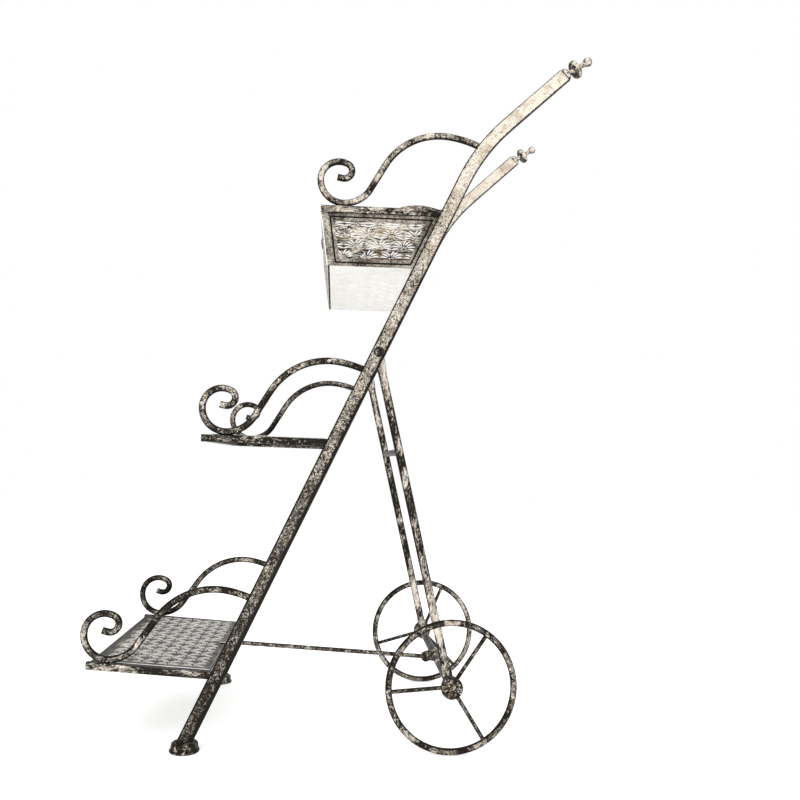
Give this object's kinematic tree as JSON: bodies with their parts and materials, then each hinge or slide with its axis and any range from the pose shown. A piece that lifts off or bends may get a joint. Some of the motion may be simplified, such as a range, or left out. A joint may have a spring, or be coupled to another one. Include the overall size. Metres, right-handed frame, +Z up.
{
  "type": "flower cart stand",
  "caption": "Folding metal flower cart: bent handle rails carry a plant basket and flat shelves with scroll arms, on spoked wheels.",
  "frame": {"origin": "on the floor, in the middle of the object's bounding box", "axes": "+X to the right side, -Y to the front where the shelves are, +Y to the rear where wheels and handles are, +Z up"},
  "size_m": [0.397, 0.6892, 0.9928],
  "materials": {
    "aged_frame": "dark brown antique paint rubbed back to greige",
    "aged_bars": "dark brown antique paint, mottled",
    "aged_wheel": "dark brown antique paint, mottled",
    "pale_cast": "cream patina over dark brown",
    "pressed_sheet": "greige pierced sheet with worn brown bands",
    "dark_fastener": "near-black, slightly rubbed"
  },
  "bodies": {
    "main_frame": {"basket_arm_left": "aged_bars", "basket_arm_right": "aged_bars", "basket_floor": "pressed_sheet", "basket_front_bar": "aged_bars", "basket_front_panel": "pressed_sheet", "basket_rear_bar": "aged_bars", "basket_rear_panel": "pressed_sheet", "basket_side_bar_left": "aged_bars", "basket_side_bar_right": "aged_bars", "basket_side_panel_left": "pressed_sheet", "basket_side_panel_right": "pressed_sheet", "bottom_arm_left": "aged_bars", "bottom_arm_right": "aged_bars", "bottom_front_bar": "aged_bars", "bottom_rear_bar": "aged_bars", "bottom_sheet": "pressed_sheet", "bottom_side_bar_left": "aged_bars", "bottom_side_bar_right": "aged_bars", "foot_left": "aged_frame", "foot_right": "aged_frame", "handle_ferrule_left": "pale_cast", "handle_ferrule_right": "pale_cast", "handle_finial_left": "pale_cast", "handle_finial_right": "pale_cast", "hinge_bolt_left": "dark_fastener", "hinge_bolt_right": "dark_fastener", "hinge_bushes": "dark_fastener", "hinge_nuts": "dark_fastener", "middle_arm_left": "aged_bars", "middle_arm_right": "aged_bars", "middle_front_bar": "aged_bars", "middle_rear_bar": "aged_bars", "middle_sheet": "pressed_sheet", "middle_side_bar_left": "aged_bars", "middle_side_bar_right": "aged_bars", "rail_left": "aged_frame", "rail_right": "aged_frame"},
    "rear_frame": {"axle": "dark_fastener", "axle_retainers": "dark_fastener", "axle_tube": "aged_bars", "axle_washers": "dark_fastener", "stay_bolt": "dark_fastener", "stay_lug": "aged_bars", "stay_nut": "dark_fastener", "strut_brace": "aged_frame", "strut_left": "aged_frame", "strut_right": "aged_frame"},
    "wheel_left": {"wheel_left_cap": "aged_wheel", "wheel_left_hub": "aged_wheel", "wheel_left_rim": "aged_wheel", "wheel_left_spokes": "aged_wheel"},
    "wheel_right": {"wheel_right_cap": "aged_wheel", "wheel_right_hub": "aged_wheel", "wheel_right_rim": "aged_wheel", "wheel_right_spokes": "aged_wheel"},
    "stay": {"stay_rod": "aged_bars"}
  },
  "joints": [
    {"name": "rear_fold", "type": "hinge", "parent": "main_frame", "child": "rear_frame", "pos_m": [0, 0.04326, 0.545], "axis": [-1, 0, 0], "range_deg": [0, 31.5]},
    {"name": "wheel_left_spin", "type": "hinge", "parent": "rear_frame", "child": "wheel_left", "pos_m": [-0.188, 0.15469, 0.09], "axis": [-1, 0, 0], "continuous": true},
    {"name": "wheel_right_spin", "type": "hinge", "parent": "rear_frame", "child": "wheel_right", "pos_m": [0.188, 0.15469, 0.09], "axis": [-1, 0, 0], "continuous": true},
    {"name": "stay_swing", "type": "hinge", "parent": "rear_frame", "child": "stay", "pos_m": [0.00565, 0.1397, 0.0885], "axis": [-1, 0, 0], "range_deg": [0, 69.3]}
  ],
  "couplings": [
    {"joint": "stay_swing", "follows": "rear_fold", "ratio": 2.2}
  ]
}
